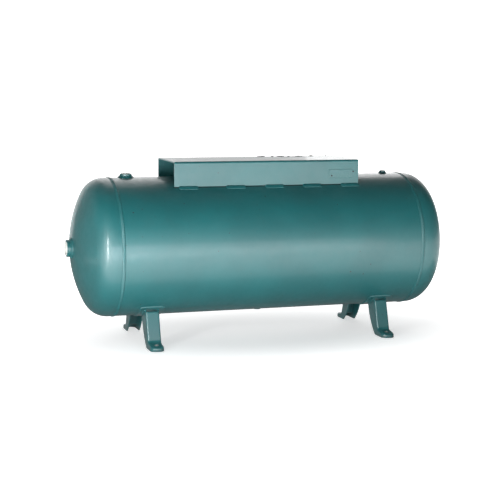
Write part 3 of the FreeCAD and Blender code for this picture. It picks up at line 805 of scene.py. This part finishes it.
def makeLabel(l):
    low, high = span("data_plate")
    makeRim(l, low, high)
    heads = Shape()
    for x, z in l["rivets"]:
        face = low.y if abs(x) < (high.x - low.x) / 2 else plateLow.y
        centre = Vector(((low.x + high.x) / 2 + x, face, (low.z + high.z) / 2 + z))
        dome = []
        for k in range(6):
            lift = math.pi / 2 * k / 5.2
            radius, rise = l["rivet"] * math.cos(lift), l["rivetHeight"] * math.sin(lift)
            dome.append([centre + Vector((radius * math.cos(t * math.pi / 10), -rise,
                                          radius * math.sin(t * math.pi / 10))) for t in range(20)])
        heads.tube(dome, False)
    addPiece("labelRivets", heads.verts, heads.faces, "painted_label", mat=darkScale)


makeLabel(label)

# dark torn flakes along the deck's rear bend
flakes = {"seed": 7, "height": 0.0043, "y": 0.1310, "width": 0.0090, "step": 0.0022, "drift": 0.0012,
          "ragged": 0.0003, "sink": 0.0003,
          "strips": ((0.035, 0.078), (0.105, 0.118), (0.134, 0.172), (0.186, 0.200), (0.222, 0.262),
                     (0.290, 0.318), (0.372, 0.380))}


def makeFlakes(f):
    rand = random.Random(f["seed"])
    shape = Shape()
    for start, end in f["strips"]:
        count = max(5, round((end - start) / f["step"]))
        drift, rings = 0.0, []
        for i in range(count + 1):
            ends = max(0.0, math.sin(math.pi * i / count)) ** 0.5
            drift += rand.uniform(-f["drift"], f["drift"])
            centre = Vector((start + (end - start) * i / count, f["y"] + drift, plateHigh.z - f["sink"]))
            half = f["width"] * (0.25 + 0.75 * ends) * rand.uniform(0.45, 1.0) / 2
            tall = f["height"] * (0.2 + 0.8 * ends) * rand.uniform(0.5, 1.0)
            ring = []
            for k in range(7):
                turn = math.pi * k / 6
                shift = rand.uniform(-f["ragged"], f["ragged"])
                rise = tall * math.sin(turn) * rand.uniform(0.8, 1.0)
                ring.append(centre + Vector((shift, -half * math.cos(turn), rise)))
            rings.append(ring)
        shape.tube(rings, False)
    addPiece("deckFlakes", shape.verts, shape.faces, "plate_paint", mat=darkScale)


makeFlakes(flakes)
print("label and flakes ready")

# plugs: ribs in the recess and grips round the cap
plugs = {
    "left_head_plug": {"axis": (-1, 0, 0), "recess": 0.0254, "hub": 0.007, "spokes": 6, "depth": 0.0088,
                       "short": 0.0028, "thick": 0.0018, "grips": 44, "cap": 0.0030,
                       "slot": "white_plastic"},
    "top_left_plug": {"axis": (0, 0, 1), "recess": 0.0166, "hub": 0.0055, "spokes": 4, "depth": 0.0088,
                      "short": 0.0015, "thick": 0.0016, "grips": 32, "cap": 0.0030, "slot": "grey_plastic"},
}
plugs["right_head_plug"] = dict(plugs["left_head_plug"], axis=(1, 0, 0))


def makePlugDetail(name, p):
    low, high = span(name)
    outward = Vector(p["axis"])
    one = Vector((0, 1, 0))
    two = outward.cross(one)
    mouth = (low + high) / 2 + outward * (abs((high - low).dot(outward)) / 2)
    capR = (high.y - low.y) / 2
    top = mouth - outward * p["short"]
    foot = mouth - outward * p["depth"]

    def ray(turn):
        return one * math.cos(turn) + two * math.sin(turn)

    def sideways(turn):
        return two * math.cos(turn) - one * math.sin(turn)

    shape = Shape()
    for k in range(p["spokes"]):
        turn = 2 * math.pi * k / p["spokes"]
        half = sideways(turn) * p["thick"] / 2
        rings = []
        for r in (p["hub"] - 0.001, p["recess"] + 0.0008):
            deep, rim = foot + ray(turn) * r, top + ray(turn) * r
            rings.append([deep - half, deep + half, rim + half * 0.8, rim + outward * 0.0003,
                          rim - half * 0.8])
        shape.tube(rings, False)
    hub = []
    for radius, level in ((0.6, 0.0), (0.9, -0.0004), (1.0, -0.0012), (1.0, -0.0070)):
        centre = top + outward * (level + 0.0006)
        hub.append([centre + ray(t * math.pi / 12) * p["hub"] * radius for t in range(24)])
    shape.tube(hub, False)
    for k in range(p["grips"]):
        turn = 2 * math.pi * k / p["grips"]
        rings = []
        for level in (0.0004, p["cap"] - 0.0004):
            centre = mouth - outward * level + ray(turn) * (capR - 0.0003)
            rings.append([centre + (ray(turn) * math.cos(a) * 0.0006 + sideways(turn) * math.sin(a) * 0.0009)
                          for a in (math.pi * h / 4 - math.pi / 2 for h in range(5))])
        shape.tube(rings, False)
    addPiece(camelCase(name) + "Ribs", shape.verts, shape.faces, p["slot"], smooth=False)


for name, p in plugs.items():
    makePlugDetail(name, p)
print("plugs ready")
